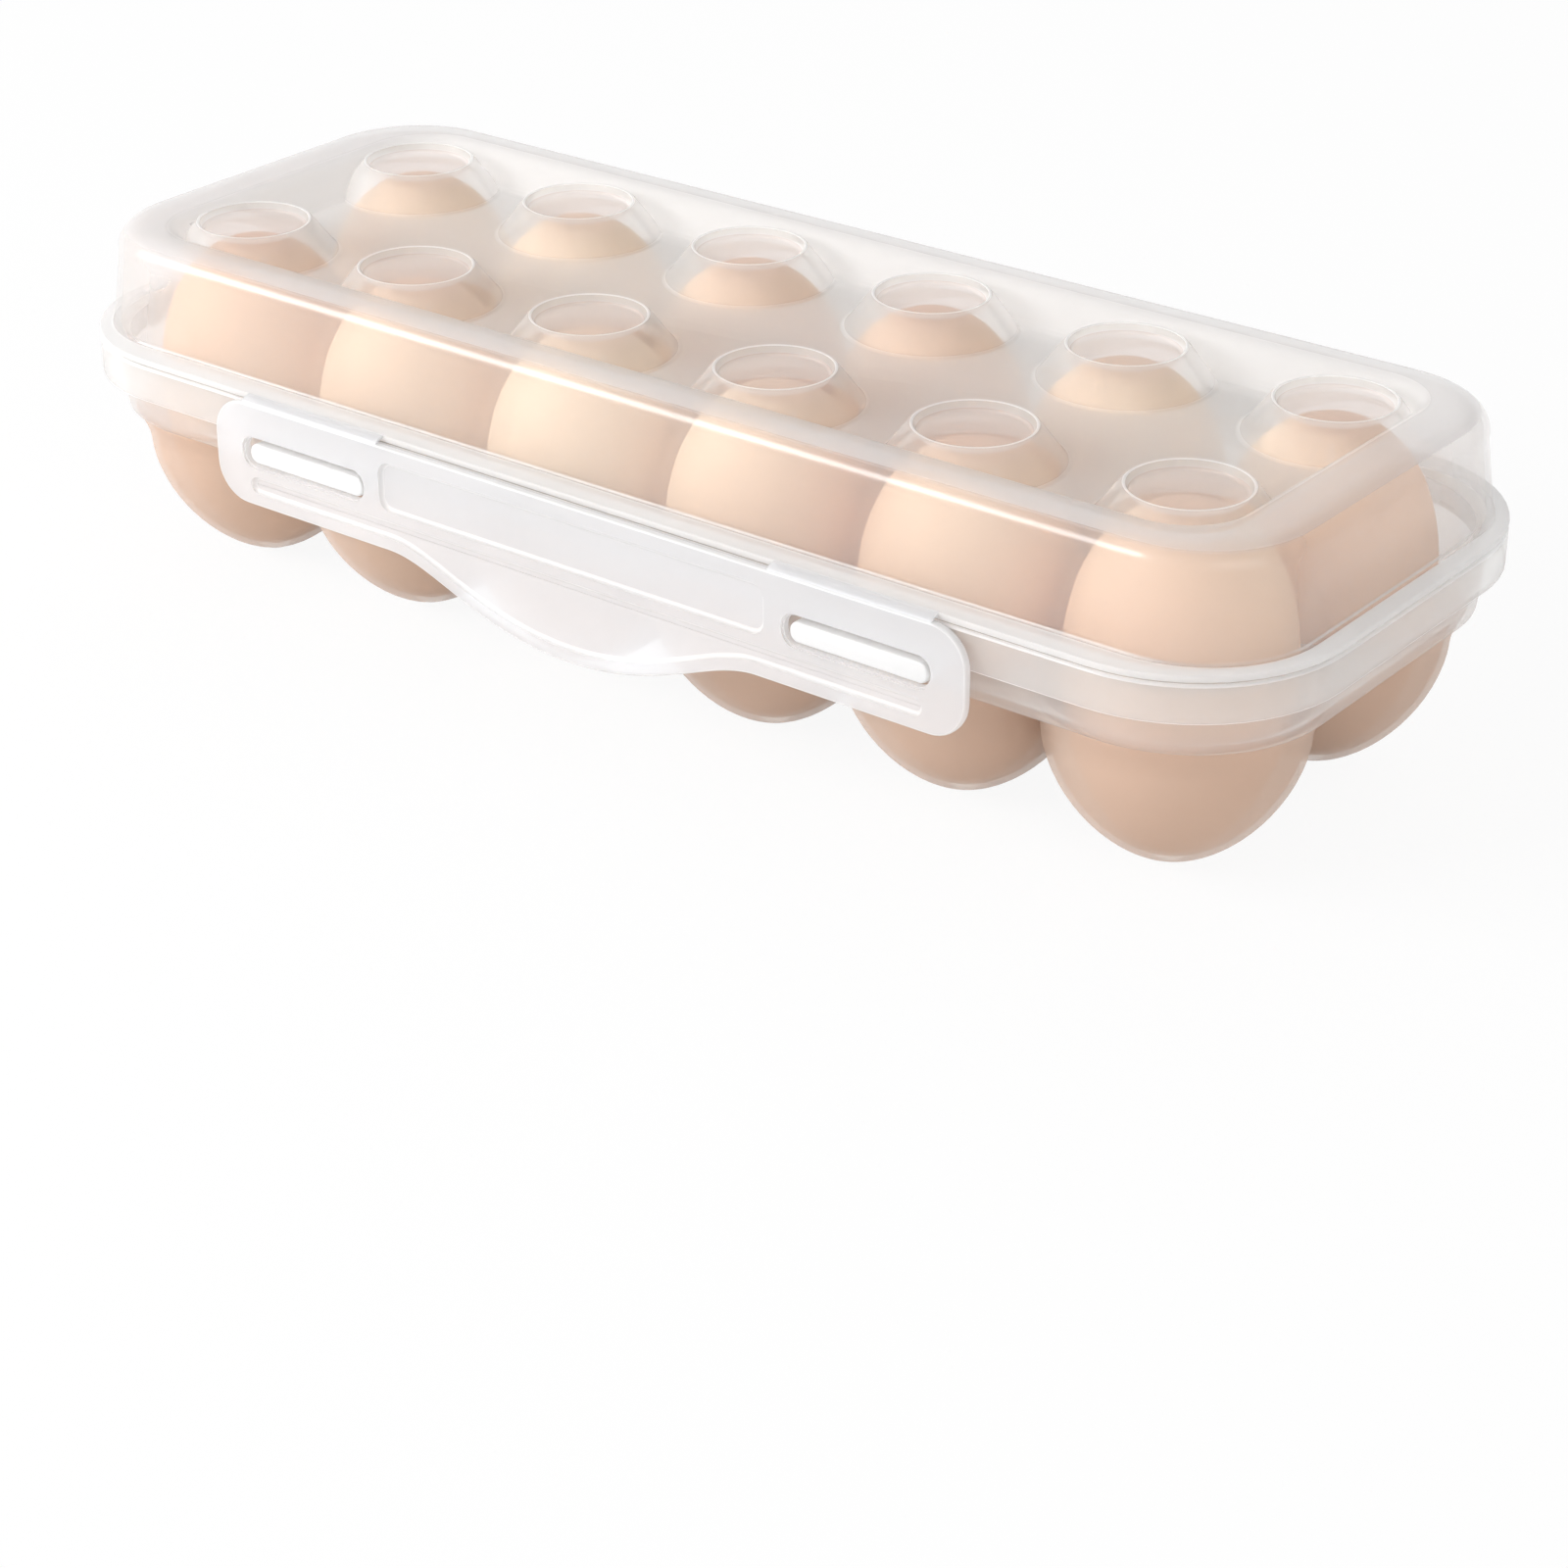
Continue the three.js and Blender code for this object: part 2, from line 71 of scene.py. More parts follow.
# How far a point lies inside an outline with round corners.
def depthInside(x, y, halfX, halfY, corner):
    outX, outY = abs(x) - halfX + corner, abs(y) - halfY + corner
    if outX > 0 and outY > 0:
        return corner - sqrt(outX ** 2 + outY ** 2)
    return corner - max(outX, outY)


def fromWall(x, y):
    return depthInside(x, y, case["rimX"], case["rimY"], case["rimCorner"])


def solid(bm):
    mesh = bpy.data.meshes.new("solid")
    bm.to_mesh(mesh)
    bm.free()
    return mesh


def moved(mesh, x, y, z=0.0):
    copy = mesh.copy()
    copy.transform(Matrix.Translation((x, y, z)))
    return copy


# A level outline with round corners, as one face added to bm.
def roundedFace(bm, halfX, halfY, corner, height, steps):
    flat = bmesh.new()
    corners = [flat.verts.new((sx * halfX, sy * halfY, height))
               for sx, sy in ((1, 1), (-1, 1), (-1, -1), (1, -1))]
    flat.faces.new(corners)
    bmesh.ops.bevel(flat, geom=corners, offset=corner, offset_type="OFFSET", segments=steps, profile=0.5,
                    affect="VERTICES", clamp_overlap=False, material=-1)
    bm.from_mesh(solid(flat))
    bm.faces.ensure_lookup_table()
    return bm.faces[-1]


# A level of (halfX, halfY, corner, height), its outline drawn in.
def level(outline, inward, height):
    return (*(size - inward for size in outline), height)


# Levels bridged into one closed body.
def loftSolid(levels, steps=14):
    bm = bmesh.new()
    faces = [roundedFace(bm, *sizes, steps) for sizes in levels]
    loops = [list(face.edges) for face in faces]
    bmesh.ops.delete(bm, geom=faces[1:-1], context="FACES_ONLY")
    for low, high in zip(loops, loops[1:]):
        bmesh.ops.bridge_loops(bm, edges=low + high)
    bmesh.ops.recalc_face_normals(bm, faces=bm.faces)
    return solid(bm)


def spunSolid(profile, steps=72):
    bm = bmesh.new()
    points = [bm.verts.new((radius, 0, height)) for radius, height in profile]
    edges = [bm.edges.new(pair) for pair in zip(points, points[1:])]
    bmesh.ops.spin(bm, geom=points + edges, cent=(0, 0, 0), axis=(0, 0, 1), angle=2 * pi, steps=steps,
                   use_merge=True)
    bmesh.ops.remove_doubles(bm, verts=bm.verts, dist=0.001)
    bmesh.ops.recalc_face_normals(bm, faces=bm.faces)
    return solid(bm)


def combined(base, tools, operation):
    body = bpy.data.objects.new("body", base)
    bpy.context.scene.collection.objects.link(body)
    for mesh in tools:
        tool = bpy.data.objects.new("tool", mesh)
        bpy.context.scene.collection.objects.link(tool)
        cut = body.modifiers.new("cut", "BOOLEAN")
        cut.operation = operation
        cut.solver = "MANIFOLD"
        cut.object = tool
        graph = bpy.context.evaluated_depsgraph_get()
        done = bpy.data.meshes.new_from_object(body.evaluated_get(graph))
        body.modifiers.clear()
        body.data = done
        bpy.data.objects.remove(tool)
    result = body.data
    bpy.data.objects.remove(body)
    return result


# Puts a mesh drawn in millimetres into the row frame as a piece with crisp edges past the given angle.
def finishPiece(name, mesh, material, body, nodes=(), crisp=38):
    mesh.transform(Matrix.Translation((0, case["rowShift"] / 1000, 0)) @ Matrix.Scale(0.001, 4))
    mesh.name = name
    mesh.materials.clear()
    mesh.materials.append(material)
    piece = bpy.data.objects.new(name, mesh)
    bpy.context.scene.collection.objects.link(piece)
    mesh.shade_smooth()
    mesh.set_sharp_from_angle(angle=radians(crisp))
    if body:
        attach(piece, body)
    if nodes:
        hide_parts(*nodes)
    print(name, len(mesh.polygons), "faces", "open edges", openEdges(mesh))
    return piece


# Gives the faces that a test picks a second material.
def refinish(piece, material, picks):
    piece.data.materials.append(material)
    for polygon in piece.data.polygons:
        x, y, z = (1000 * c for c in polygon.center)
        if picks(x, y - case["rowShift"], z, polygon.normal):
            polygon.material_index = len(piece.data.materials) - 1


def openEdges(mesh):
    bm = bmesh.new()
    bm.from_mesh(mesh)
    count = sum(1 for edge in bm.edges if len(edge.link_faces) != 2)
    bm.free()
    return count


# Points that round the bend at a corner of a section, from the way in to the way out.
def bend(start, corner, end, steps=4):
    points = []
    for step in range(steps + 1):
        t = step / steps
        points.append(tuple(a * (1 - t) ** 2 + 2 * b * t * (1 - t) + c * t ** 2
                            for a, b, c in zip(start, corner, end)))
    return points


# Materials


def noise(tree, place, size, detail):
    texture = tree.nodes.new("ShaderNodeTexNoise")
    texture.inputs["Scale"].default_value = size
    texture.inputs["Detail"].default_value = detail
    tree.links.new(place.outputs["Object"], texture.inputs["Vector"])
    return texture


# A colour that runs from one tint to another as a texture goes from low to high.
def toned(tree, texture, low, lowTint, high, highTint):
    ramp = tree.nodes.new("ShaderNodeValToRGB")
    for stop, position, tint in zip(ramp.color_ramp.elements, (low, high), (lowTint, highTint)):
        stop.position = position
        stop.color = (*tint, 1)
    tree.links.new(texture.outputs["Fac"], ramp.inputs["Fac"])
    return ramp.outputs["Color"]


def addBump(tree, texture, strength, depth):
    bump = tree.nodes.new("ShaderNodeBump")
    bump.inputs["Strength"].default_value = strength
    bump.inputs["Distance"].default_value = depth
    tree.links.new(texture.outputs["Fac"], bump.inputs["Height"])
    tree.links.new(bump.outputs["Normal"], tree.nodes["Principled BSDF"].inputs["Normal"])


frosted = {
    "frostSize": 2600.0, "bump": 0.05, "frostDepth": 0.0001, "cloudSize": 22.0, "cloudShade": 0.98,
    "cloudLow": 0.35, "cloudHigh": 0.65, "roughLow": 0.3, "roughHigh": 0.7, "roughSpread": 0.03,
    "gloss": 0.2, "glossBend": 1.75,
}


# Plastic with a fine frost as its bump, and faint clouds in its tint and roughness.
def frostedPlastic(name, tint, rough, through, alpha, bending, gloss):
    material = bpy.data.materials.new(name)
    material.use_nodes = True
    tree = material.node_tree
    shader = tree.nodes["Principled BSDF"]
    shader.inputs["IOR"].default_value = bending
    shader.inputs["Transmission Weight"].default_value = through
    shader.inputs["Alpha"].default_value = alpha
    shader.inputs["Coat Weight"].default_value = gloss
    shader.inputs["Coat Roughness"].default_value = frosted["gloss"]
    shader.inputs["Coat IOR"].default_value = frosted["glossBend"]
    place = tree.nodes.new("ShaderNodeTexCoord")
    clouds = noise(tree, place, frosted["cloudSize"], 2.0)
    shaded = [frosted["cloudShade"] * c for c in tint]
    colour = toned(tree, clouds, frosted["cloudLow"], shaded, frosted["cloudHigh"], tint)
    tree.links.new(colour, shader.inputs["Base Color"])
    roughness = tree.nodes.new("ShaderNodeMapRange")
    roughness.inputs["From Min"].default_value = frosted["roughLow"]
    roughness.inputs["From Max"].default_value = frosted["roughHigh"]
    roughness.inputs["To Min"].default_value = rough - frosted["roughSpread"]
    roughness.inputs["To Max"].default_value = rough + frosted["roughSpread"]
    tree.links.new(clouds.outputs["Fac"], roughness.inputs["Value"])
    tree.links.new(roughness.outputs["Result"], shader.inputs["Roughness"])
    addBump(tree, noise(tree, place, frosted["frostSize"], 1.0), frosted["bump"], frosted["frostDepth"])
    return material


lidPlastic = frostedPlastic("frostedLidPlastic", (0.95, 0.92, 0.91), 0.32, 0.5, 0.29, 1.15, 1.0)
# Painted shade: a darker grey tint on the lid's crest and the upper half of its shoulder, which are hazier
# too.
crestShadePlastic = frostedPlastic("hazyPaintedShadeCrestPlastic", (0.84, 0.82, 0.82), 0.45, 0.4, 0.5, 1.12, 0.25)
# The valley floor of the lid's top is hazier, with a greyer, darker tint as painted shade.
topShadePlastic = frostedPlastic("hazyPaintedShadeTopPlastic", (0.9, 0.89, 0.88), 0.6, 0.45, 0.58, 1.1, 0.0)
conePlastic = frostedPlastic("clearConePlastic", (0.92, 0.9, 0.88), 0.6, 0.45, 0.38, 1.06, 0.0)
trayPlastic = frostedPlastic("frostedTrayPlastic", (0.95, 0.93, 0.915), 0.35, 0.5, 0.42, 1.2, 0.3)
# Painted shade: the cups below the deck get a darker warm brown tint than the tray's own plastic.
cupShadePlastic = frostedPlastic("frostedPaintedShadeCupPlastic", (0.8, 0.61, 0.49), 0.5, 0.15, 0.58, 1.1, 0.15)
latchPlastic = frostedPlastic("frostedLatchPlastic", (0.88, 0.88, 0.895), 0.4, 0.25, 0.62, 1.15, 0.3)
barPlastic = frostedPlastic("milkyBarPlastic", (0.94, 0.94, 0.94), 0.4, 0.2, 0.95, 1.3, 0.2)
# Painted highlight: a whiter, less clear plastic laid as bright lines on edges, the lid's flange and the ring
# tops.
edgeHighlightPlastic = frostedPlastic("paintedHighlightEdgePlastic", (0.96, 0.96, 0.96), 0.35, 0.25, 0.72, 1.25, 0.4)
# Painted shade: a darker pinkish-brown tint in the recessed dishes on top of the lid.
dishShadePlastic = frostedPlastic("clearPaintedShadeDishPlastic", (0.88, 0.77, 0.72), 0.35, 0.15, 0.36, 1.05, 0.3)

shell = {
    "pale": (0.9, 0.67, 0.46), "deep": (0.82, 0.52, 0.33), "speck": (0.68, 0.42, 0.26),
    "toneSize": 14.0, "toneLow": 0.35, "toneHigh": 0.68, "mottleSize": 260.0, "speckFrom": 0.55,
    "speckFull": 0.8, "speckMost": 0.35, "poreSize": 1500.0, "poreDepth": 0.0002, "bump": 0.12,
    "roughness": 0.62, "shine": 0.35,
}


def eggshell():
    material = bpy.data.materials.new("eggshell")
    material.use_nodes = True
    tree = material.node_tree
    shader = tree.nodes["Principled BSDF"]
    shader.inputs["Roughness"].default_value = shell["roughness"]
    shader.inputs["Specular IOR Level"].default_value = shell["shine"]
    place = tree.nodes.new("ShaderNodeTexCoord")
    tone = noise(tree, place, shell["toneSize"], 0.0)
    mottle = noise(tree, place, shell["mottleSize"], 4.0)
    pores = noise(tree, place, shell["poreSize"], 2.0)
    ground = toned(tree, tone, shell["toneLow"], shell["pale"], shell["toneHigh"], shell["deep"])
    amount = tree.nodes.new("ShaderNodeMapRange")
    amount.inputs["From Min"].default_value = shell["speckFrom"]
    amount.inputs["From Max"].default_value = shell["speckFull"]
    amount.inputs["To Max"].default_value = shell["speckMost"]
    tree.links.new(mottle.outputs["Fac"], amount.inputs["Value"])
    blend = tree.nodes.new("ShaderNodeMix")
    blend.data_type = "RGBA"
    tree.links.new(amount.outputs["Result"], blend.inputs["Factor"])
    tree.links.new(ground, blend.inputs["A"])
    blend.inputs["B"].default_value = (*shell["speck"], 1)
    tree.links.new(blend.outputs["Result"], shader.inputs["Base Color"])
    addBump(tree, pores, shell["bump"], shell["poreDepth"])
    return material


eggshellFinish = eggshell()
print("materials made")

# Tray

tray = {
    "flange": 1.3, "edge": 0.6, "lowEdge": 0.35, "skirtHeight": 7.9,
    "wallInsetX": 3.1, "wallInsetY": 4.3, "wallDraft": 0.9, "wallCorner": 29.0, "deckDrop": 16.8,
    "footFillet": 1.4, "cupRadius": 25.3, "bowlHeight": 27.5, "fullness": 1.7, "footRadius": 5.0,
    "footFlat": 0.6, "flareRadius": 28.0, "flarePower": 1.6, "bowlRows": 20, "flareRows": 8,
    "mouthEdge": 0.4, "skirtCorner": 0.5,
}


def cupProfile(skin, deckBottom, top):
    radius, rise = tray["cupRadius"] - skin, tray["bowlHeight"] - skin
    full, foot = tray["fullness"], tray["footRadius"]
    profile = [(0, skin), (foot * tray["footFlat"], skin)]
    for row in range(1, tray["bowlRows"] + 1):
        drop = cos(row / tray["bowlRows"] * pi / 2)
        reach = radius * (1 - drop ** full) ** (1 / full)
        if reach > foot:
            profile.append((reach, skin + rise * (1 - drop)))
    mouth = deckBottom - tray["bowlHeight"]
    for row in range(1, tray["flareRows"] + 1):
        share = row / tray["flareRows"]
        profile.append((radius + (tray["flareRadius"] - tray["cupRadius"]) * share ** tray["flarePower"],
                        skin + rise + mouth * share))
    profile += [(profile[-1][0], top), (0, top)]
    return profile


def trayMesh():
    x, y, corner, rim = case["rimX"], case["rimY"], case["rimCorner"], case["rimHeight"]
    edge, low, wall = tray["edge"], tray["lowEdge"], case["wall"]
    skirtBottom, deckBottom = rim - tray["skirtHeight"], rim - tray["deckDrop"]
    small, middle, half = roundShare["small"], roundShare["middle"], roundShare["half"]
    outline = (x, y, corner)
    skirt = loftSolid([
        level(outline, low, skirtBottom),
        level(outline, low * middle, skirtBottom + low * middle),
        level(outline, 0, skirtBottom + low),
        level(outline, 0, rim - edge),
        level(outline, edge * small, rim - edge * half),
        level(outline, edge * half, rim - edge * small),
        level(outline, edge, rim),
    ])
    thin, turn, mouth = tray["flange"], tray["skirtCorner"], tray["mouthEdge"]
    outline = (x - thin, y - thin, corner - thin)
    skirtInside = loftSolid([
        level(outline, 0, skirtBottom - cutter["loftPast"]),
        level(outline, 0, rim - thin - turn),
        level(outline, turn, rim - thin),
    ])
    topX, topY = x - tray["wallInsetX"], y - tray["wallInsetY"]
    footX, footY, wallCorner = topX - tray["wallDraft"], topY - tray["wallDraft"], tray["wallCorner"]
    fillet = tray["footFillet"]
    foot, top = (footX, footY, wallCorner), (topX, topY, wallCorner)
    sideWall = loftSolid([
        level(foot, fillet, deckBottom),
        level(foot, fillet * half, deckBottom + fillet * small),
        level(foot, fillet * small, deckBottom + fillet * half),
        level(foot, 0, deckBottom + fillet),
        level(top, 0, rim - thin / 2),
    ])
    foot, top = [size - wall for size in foot], [size - wall for size in top]
    inside = loftSolid([
        level(foot, fillet, deckBottom + wall),
        level(foot, fillet * middle, deckBottom + wall + fillet * middle),
        level(foot, 0, deckBottom + wall + fillet),
        level(top, 0, rim - mouth),
        level(top, -mouth, rim),
        level(top, -mouth, rim + cutter["loftPast"]),
    ])
    cup = spunSolid(cupProfile(0, deckBottom, deckBottom + wall / 2))
    hollow = spunSolid(cupProfile(wall, deckBottom, deckBottom + wall + cutter["loftPast"]))
    mesh = combined(skirt, [skirtInside], "DIFFERENCE")
    mesh = combined(mesh, [sideWall] + [moved(cup, cx, cy) for cx, cy in cupCentres()], "UNION")
    mesh = combined(mesh, [inside] + [moved(hollow, cx, cy) for cx, cy in cupCentres()], "DIFFERENCE")
    return combined(mesh, hingeEars(), "UNION")


def roundedBlock(lowX, highX, lowY, highY, lowZ, highZ, edge, steps=3):
    bm = bmesh.new()
    bmesh.ops.create_cube(bm, size=1)
    bmesh.ops.scale(bm, vec=(highX - lowX, highY - lowY, highZ - lowZ), verts=bm.verts)
    bmesh.ops.translate(bm, vec=((lowX + highX) / 2, (lowY + highY) / 2, (lowZ + highZ) / 2), verts=bm.verts)
    bmesh.ops.bevel(bm, geom=bm.edges[:], offset=edge, offset_type="OFFSET", segments=steps, profile=0.5,
                    affect="EDGES", material=-1)
    return solid(bm)


def plateSolid(makeFace, back, front, edge):
    bm = bmesh.new()
    makeFace(bm)
    bmesh.ops.translate(bm, verts=bm.verts, vec=(0, -back, 0))
    grown = bmesh.ops.extrude_face_region(bm, geom=bm.faces[:])
    moving = [v for v in grown["geom"] if isinstance(v, bmesh.types.BMVert)]
    bmesh.ops.translate(bm, verts=moving, vec=(0, back - front, 0))
    bmesh.ops.recalc_face_normals(bm, faces=bm.faces)
    if edge:
        rim = [e for e in bm.edges if abs(e.verts[0].co.y - e.verts[1].co.y) < 1e-4]
        bmesh.ops.bevel(bm, geom=rim, offset=edge, offset_type="OFFSET", segments=3, profile=0.5,
                        affect="EDGES", clamp_overlap=False, material=-1)
    return solid(bm)


def slotFace(bm, lowX, highX, lowZ, highZ, corner):
    points = [bm.verts.new((x, 0, z))
              for x, z in ((lowX, lowZ), (highX, lowZ), (highX, highZ), (lowX, highZ))]
    bm.faces.new(points)
    bmesh.ops.bevel(bm, geom=points, offset=corner, offset_type="OFFSET", segments=8, profile=0.5,
                    affect="VERTICES", clamp_overlap=False, material=-1)


hinge = {
    "offset": 75.0, "clipWidth": 18.0, "clipOuter": 3.1, "clipBore": 1.8, "pinRadius": 1.5, "axisY": 63.5,
    "axisZ": 50.5, "earThickness": 3.0, "earRadius": 2.6, "earTurn": 1.84, "earTop": 51.4, "earFoot": 45.4,
    "earToe": 60.1, "earBack": 1.0, "earCrown": 2.4, "runningGap": 0.4, "mouth": 0.7, "mouthDepth": 6.0,
    "mouthEdge": 0.05, "strapRoot": 1.5, "strapLow": 52.35, "strapHigh": 53.6, "strapEdge": 0.3,
}


# A round bar along x about a middle.
def crossBar(middle, width, y, z, radius, steps=28):
    bm = bmesh.new()
    bmesh.ops.create_cone(bm, cap_ends=True, segments=steps, radius1=radius, radius2=radius, depth=width)
    bmesh.ops.rotate(bm, verts=bm.verts, cent=(0, 0, 0), matrix=Matrix.Rotation(pi / 2, 3, "Y"))
    bmesh.ops.translate(bm, verts=bm.verts, vec=(middle, y, z))
    return solid(bm)


def hingeEars():
    parts = []
    rootY = case["rimY"] - tray["flange"] / 2
    reach = (hinge["clipWidth"] + hinge["earThickness"]) / 2 + hinge["runningGap"]
    for side in (-1, 1):
        for end in (-1, 1):
            middle = side * hinge["offset"] + end * reach
            half = hinge["earThickness"] / 2
            arm = bmesh.new()
            points = [arm.verts.new((middle - half, y, z)) for y, z in (
                (rootY, hinge["earTop"]), (rootY, hinge["earFoot"]), (hinge["earToe"], hinge["earFoot"]),
                (hinge["axisY"] + hinge["earTurn"], hinge["axisZ"] - hinge["earTurn"]),
                (hinge["axisY"] + hinge["earRadius"], hinge["axisZ"]),
                (hinge["axisY"] - hinge["earBack"], hinge["axisZ"] + hinge["earCrown"]))]
            face = arm.faces.new(points)
            grown = bmesh.ops.extrude_face_region(arm, geom=[face])
            bmesh.ops.translate(arm, vec=(2 * half, 0, 0),
                                verts=[v for v in grown["geom"] if isinstance(v, bmesh.types.BMVert)])
            bmesh.ops.recalc_face_normals(arm, faces=arm.faces)
            parts.append(solid(arm))
        parts.append(crossBar(side * hinge["offset"], 2 * reach, hinge["axisY"], hinge["axisZ"],
                              hinge["pinRadius"]))
    return parts


trayPiece = finishPiece("trayShell", trayMesh(), trayPlastic, "tray", ("tray",))
skirtFoot, wallFoot = case["rimHeight"] - tray["skirtHeight"], case["rimHeight"] - tray["deckDrop"]

# How wide the painted highlight lines along the tray's edges are, and where the cups' painted shade begins.
trayLines = {
    "slack": 0.1, "skirt": 0.45, "rim": 0.7, "wallFoot": 0.9, "wallDeep": 2.5, "flat": 0.999,
    "cupsBelow": 0.05,
}


def onTrayEdge(x, y, z, normal):
    slack = trayLines["slack"]
    onSkirt = skirtFoot - slack < z < skirtFoot + trayLines["skirt"]
    onRim = case["rimHeight"] - trayLines["rim"] < z < case["rimHeight"] + slack
    onWallFoot = wallFoot + slack < z < wallFoot + trayLines["wallFoot"] and (
        fromWall(x, y) < trayLines["wallDeep"])
    return abs(normal.z) < trayLines["flat"] and (onSkirt or onRim or onWallFoot)


# The cups below the deck take the painted shade tint.
refinish(trayPiece, cupShadePlastic, lambda x, y, z, n: z < wallFoot - trayLines["cupsBelow"])
# The skirt's lower edge, the rim's top edge and the wall's foot take the painted highlight lines.
refinish(trayPiece, edgeHighlightPlastic, onTrayEdge)

catchBar = {
    "start": 54.4, "end": 86.1, "low": 39.3, "high": 43.6, "front": 61.6, "root": 54.6, "round": 2.0,
    "edge": 0.5,
}

for side, name in ((-1, "left"), (1, "right")):
    ends = sorted((side * catchBar["start"], side * catchBar["end"]))
    bar = plateSolid(lambda bm: slotFace(bm, *ends, catchBar["low"], catchBar["high"], catchBar["round"]),
                     catchBar["root"], catchBar["front"], catchBar["edge"])
    finishPiece("catchBar" + name.capitalize(), bar, barPlastic, "tray",
                ("catch_bar_" + name,))

# Lid

lid = {
    "flangeEdge": 0.4, "ribDepth": 4.7, "ribGap": 0.5, "ribEdge": 0.4, "footInsetX": 4.0,
    "footInsetY": 5.7, "footCorner": 24.5, "footSunk": 0.7,
    "footFillet": 1.1, "draft": 1.5, "shoulderTop": 75.6, "shoulderRound": 6.0, "shoulderCorner": 19.0,
    "shoulderRows": 9, "crestReachX": 15.0, "crestReachY": 17.5, "crestCorner": 13.4, "crestSoft": 1.8,
    "valleyFloor": 68.0, "valleyRun": 7.0, "valleyOffset": 0.5, "valleySoft": 1.6,
}

boss = {
    "base": 17.9, "foot": 1.0, "footRise": 1.2, "footSunk": 0.05, "footLip": 0.04, "ringOuter": 12.3,
    "ringInner": 11.6, "crownRise": 1.0, "crownIn": 0.3, "lipOut": 0.25, "lipIn": 0.1, "lipDrop": 0.35,
    "dish": 11.0, "dishDepth": 2.0, "dishLean": 0.1, "dishSide": 1.4, "dishRound": 0.8,
    "hollowInset": 0.4, "hollowRound": 0.9,
}


def lidLevels(skin):
    footX, footY = case["rimX"] - lid["footInsetX"] - skin, case["rimY"] - lid["footInsetY"] - skin
    corner, rounding, fillet = lid["footCorner"] - skin, lid["shoulderRound"], lid["footFillet"]
    if skin:
        levels = [(footX, footY, corner, case["flangeTop"])]
    else:
        levels = [(footX + fillet, footY + fillet, corner + fillet, case["lidBottom"] + lid["footSunk"])]
        levels += [(footX + out, footY + out, corner + out, case["flangeTop"] + up) for out, up in
                   bend((fillet, 0.0), (0.0, 0.0), (0.0, fillet), 3)]
    for row in range(lid["shoulderRows"] + 1):
        angle = row / lid["shoulderRows"] * pi / 2
        inward = lid["draft"] + (rounding - skin) * (1 - cos(angle))
        share = row / lid["shoulderRows"]
        levels.append((footX - inward, footY - inward, corner + (lid["shoulderCorner"] - corner) * share,
                       lid["shoulderTop"] - rounding + (rounding - skin) * sin(angle)))
    shift = lid["valleyOffset"] if skin else 0
    crestX = endCupX + lid["crestReachX"] + shift
    crestY = rowY + lid["crestReachY"] + shift
    run, soft, low = lid["valleyRun"], lid["crestSoft"], lid["valleySoft"]
    drop = (case["crestTop"] - lid["valleyFloor"]) / run
    for inward, height in bend((-soft, case["crestTop"]), (0, case["crestTop"]),
                               (soft, case["crestTop"] - drop * soft)):
        levels.append((crestX - inward, crestY - inward, lid["crestCorner"] - inward, height - skin))
    for inward, height in bend((run - low, lid["valleyFloor"] + drop * low), (run, lid["valleyFloor"]),
                               (run + low, lid["valleyFloor"])):
        levels.append((crestX - inward, crestY - inward, lid["crestCorner"] - inward, height - skin))
    return levels


def bossProfile():
    top, floor, base = case["crestTop"], lid["valleyFloor"], boss["base"]
    outer, inner, dish = boss["ringOuter"], boss["ringInner"], boss["dish"]
    foot, rise, crown = base + boss["foot"], boss["footRise"], boss["crownRise"]
    dishFloor, slope = top - boss["dishDepth"], (base - outer) / (top - floor)
    profile = [(0, floor - case["wall"]), (foot, floor - case["wall"]), (foot, floor - boss["footSunk"])]
    profile += bend((foot, floor - boss["footLip"]), (base, floor), (base - slope * rise, floor + rise), 5)
    profile += bend((outer + slope * crown, top - crown), (outer, top), (outer - boss["crownIn"], top), 4)
    profile += bend((inner + boss["lipOut"], top), (inner, top),
                    (inner - boss["lipIn"], top - boss["lipDrop"]), 3)
    profile += bend((dish + boss["dishLean"], top - boss["dishSide"]), (dish, dishFloor),
                    (dish - boss["dishRound"], dishFloor), 4)
    return profile + [(0, dishFloor)]


def bossHollowProfile():
    top, floor, wall = case["crestTop"] - boss["dishDepth"] - case["wall"], lid["valleyFloor"], case["wall"]
    slope = (boss["base"] - boss["ringOuter"]) / (case["crestTop"] - floor)
    foot, soft = boss["base"] - wall - boss["hollowInset"], boss["hollowRound"]
    reach = foot - slope * (top - floor + wall)
    profile = [(0, floor - 2 * wall), (foot, floor - 2 * wall), (foot, floor - wall)]
    profile += bend((reach + slope * soft, top - soft), (reach, top), (reach - soft, top), 4)
    return profile + [(0, top)]


